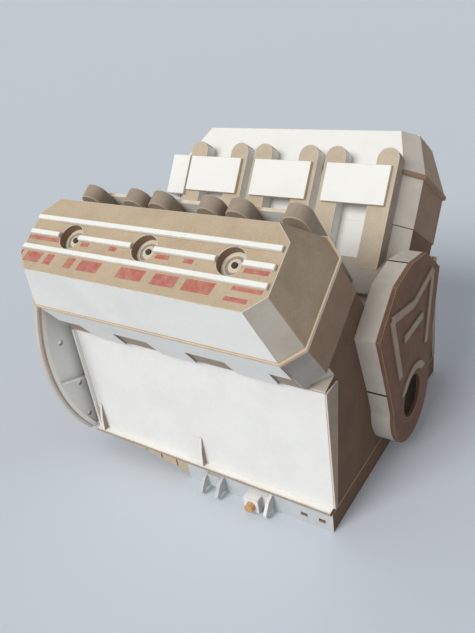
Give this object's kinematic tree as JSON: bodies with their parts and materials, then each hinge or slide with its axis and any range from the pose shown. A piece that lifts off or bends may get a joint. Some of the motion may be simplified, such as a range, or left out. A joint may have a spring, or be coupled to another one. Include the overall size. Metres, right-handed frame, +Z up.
{
  "type": "v-six engine",
  "caption": "Card and greyboard model of a V-shaped piston engine with cam covers, intake plates, timing cover, bell plate and sump, and a turning crank train inside.",
  "frame": {"origin": "on the crank axis at the rear face of the bell plate", "axes": "+X along the crankshaft towards the timing cover, +Y towards the left bank, +Z up"},
  "size_m": [0.1463, 0.1584, 0.1259],
  "materials": {
    "greyboard": "matt unlined greyboard",
    "white_card": "smooth white card, faintly creased",
    "pale_card": "white card greyed by handling",
    "tan_board": "matt tan greyboard",
    "printed_board": "tan packaging board with worn red bars, white on the bevels",
    "cream_board": "cream card",
    "brown_board": "matt brown board",
    "dowel_wood": "bare round dowel",
    "paper_tube": "rolled kraft paper"
  },
  "bodies": {
    "casing": {"bearing_caps": "greyboard", "bearing_walls": "greyboard", "bed_plate": "white_card", "bell_plate": "pale_card", "bell_ribs": "white_card", "bell_rim": "cream_board", "cam_caps": "greyboard", "corner_strips": "pale_card", "crankcase": "greyboard", "cylinder_liners": "paper_tube", "drive_belts": "brown_board", "left_cam_cover": "printed_board", "left_cover_plate": "tan_board", "left_cover_ribs": "white_card", "left_head": "greyboard", "left_intake_pillars": "tan_board", "left_intake_plates": "white_card", "left_port_band": "white_card", "left_side_panel": "white_card", "mount_brackets": "pale_card", "mount_pins": "dowel_wood", "pin_bosses": "white_card", "rear_posts": "white_card", "right_cam_cover": "printed_board", "right_cover_plate": "tan_board", "right_cover_ribs": "white_card", "right_head": "greyboard", "right_intake_pillars": "tan_board", "right_intake_plates": "white_card", "right_port_band": "white_card", "right_side_panel": "white_card", "side_gussets": "white_card", "spark_plugs": "cream_board", "sump_pan": "white_card", "sump_ramp": "tan_board", "timing_cover_face": "brown_board", "timing_cover_strips": "tan_board", "timing_cover_wall": "white_card", "valley_cover": "white_card"},
    "crank": {"crankshaft": "dowel_wood", "crank_wheel": "greyboard", "flywheel": "greyboard"},
    "right_rear_rod": {"right_rear_rod": "tan_board"},
    "right_rear_piston": {"right_rear_piston": "paper_tube"},
    "left_rear_rod": {"left_rear_rod": "tan_board"},
    "left_rear_piston": {"left_rear_piston": "paper_tube"},
    "right_middle_rod": {"right_middle_rod": "tan_board"},
    "right_middle_piston": {"right_middle_piston": "paper_tube"},
    "left_middle_rod": {"left_middle_rod": "tan_board"},
    "left_middle_piston": {"left_middle_piston": "paper_tube"},
    "right_front_rod": {"right_front_rod": "tan_board"},
    "right_front_piston": {"right_front_piston": "paper_tube"},
    "left_front_rod": {"left_front_rod": "tan_board"},
    "left_front_piston": {"left_front_piston": "paper_tube"},
    "right_intake_camshaft": {"right_intake_camshaft": "dowel_wood"},
    "right_exhaust_camshaft": {"right_exhaust_camshaft": "dowel_wood"},
    "left_intake_camshaft": {"left_intake_camshaft": "dowel_wood"},
    "left_exhaust_camshaft": {"left_exhaust_camshaft": "dowel_wood"}
  },
  "joints": [
    {"name": "crank_spin", "type": "hinge", "parent": "casing", "child": "crank", "pos_m": [0.069, 0, 0], "axis": [1, 0, 0], "continuous": true},
    {"name": "right_rear_big_end", "type": "hinge", "parent": "crank", "child": "right_rear_rod", "pos_m": [0.0308, 0.00171, 0.0047], "axis": [1, 0, 0], "continuous": true},
    {"name": "right_rear_stroke", "type": "slide", "parent": "casing", "child": "right_rear_piston", "axis": [0, -0.5736, 0.8192], "range_m": [-0.00787, 0.00213]},
    {"name": "left_rear_big_end", "type": "hinge", "parent": "crank", "child": "left_rear_rod", "pos_m": [0.0344, 0.00171, 0.0047], "axis": [1, 0, 0], "continuous": true},
    {"name": "left_rear_stroke", "type": "slide", "parent": "casing", "child": "left_rear_piston", "axis": [0, 0.5736, 0.8192], "range_m": [-0.00983, 0.00017]},
    {"name": "right_middle_big_end", "type": "hinge", "parent": "crank", "child": "right_middle_rod", "pos_m": [0.0672, 0.00321, -0.00383], "axis": [1, 0, 0], "continuous": true},
    {"name": "right_middle_stroke", "type": "slide", "parent": "casing", "child": "right_middle_piston", "axis": [0, -0.5736, 0.8192], "range_m": [-0.00002, 0.00998]},
    {"name": "left_middle_big_end", "type": "hinge", "parent": "crank", "child": "left_middle_rod", "pos_m": [0.0708, 0.00321, -0.00383], "axis": [1, 0, 0], "continuous": true},
    {"name": "left_middle_stroke", "type": "slide", "parent": "casing", "child": "left_middle_piston", "axis": [0, 0.5736, 0.8192], "range_m": [-0.00371, 0.00629]},
    {"name": "right_front_big_end", "type": "hinge", "parent": "crank", "child": "right_front_rod", "pos_m": [0.1036, -0.00492, -0.00087], "axis": [1, 0, 0], "continuous": true},
    {"name": "right_front_stroke", "type": "slide", "parent": "casing", "child": "right_front_piston", "axis": [0, -0.5736, 0.8192], "range_m": [-0.00711, 0.00289]},
    {"name": "left_front_big_end", "type": "hinge", "parent": "crank", "child": "left_front_rod", "pos_m": [0.1072, -0.00492, -0.00087], "axis": [1, 0, 0], "continuous": true},
    {"name": "left_front_stroke", "type": "slide", "parent": "casing", "child": "left_front_piston", "axis": [0, 0.5736, 0.8192], "range_m": [-0.00146, 0.00854]},
    {"name": "right_intake_cam_spin", "type": "hinge", "parent": "casing", "child": "right_intake_camshaft", "pos_m": [0.06, -0.0488, 0.07936], "axis": [1, 0, 0], "continuous": true},
    {"name": "right_exhaust_cam_spin", "type": "hinge", "parent": "casing", "child": "right_exhaust_camshaft", "pos_m": [0.06, -0.06387, 0.06881], "axis": [1, 0, 0], "continuous": true},
    {"name": "left_intake_cam_spin", "type": "hinge", "parent": "casing", "child": "left_intake_camshaft", "pos_m": [0.06, 0.0488, 0.07936], "axis": [1, 0, 0], "continuous": true},
    {"name": "left_exhaust_cam_spin", "type": "hinge", "parent": "casing", "child": "left_exhaust_camshaft", "pos_m": [0.06, 0.06387, 0.06881], "axis": [1, 0, 0], "continuous": true}
  ],
  "couplings": [
    {"joint": "right_rear_big_end", "follows": "crank_spin", "ratio": -1},
    {"joint": "left_rear_big_end", "follows": "crank_spin", "ratio": -1},
    {"joint": "right_middle_big_end", "follows": "crank_spin", "ratio": -1},
    {"joint": "left_middle_big_end", "follows": "crank_spin", "ratio": -1},
    {"joint": "right_front_big_end", "follows": "crank_spin", "ratio": -1},
    {"joint": "left_front_big_end", "follows": "crank_spin", "ratio": -1},
    {"joint": "right_intake_cam_spin", "follows": "crank_spin", "ratio": 0.5},
    {"joint": "right_exhaust_cam_spin", "follows": "crank_spin", "ratio": 0.5},
    {"joint": "left_intake_cam_spin", "follows": "crank_spin", "ratio": 0.5},
    {"joint": "left_exhaust_cam_spin", "follows": "crank_spin", "ratio": 0.5}
  ]
}
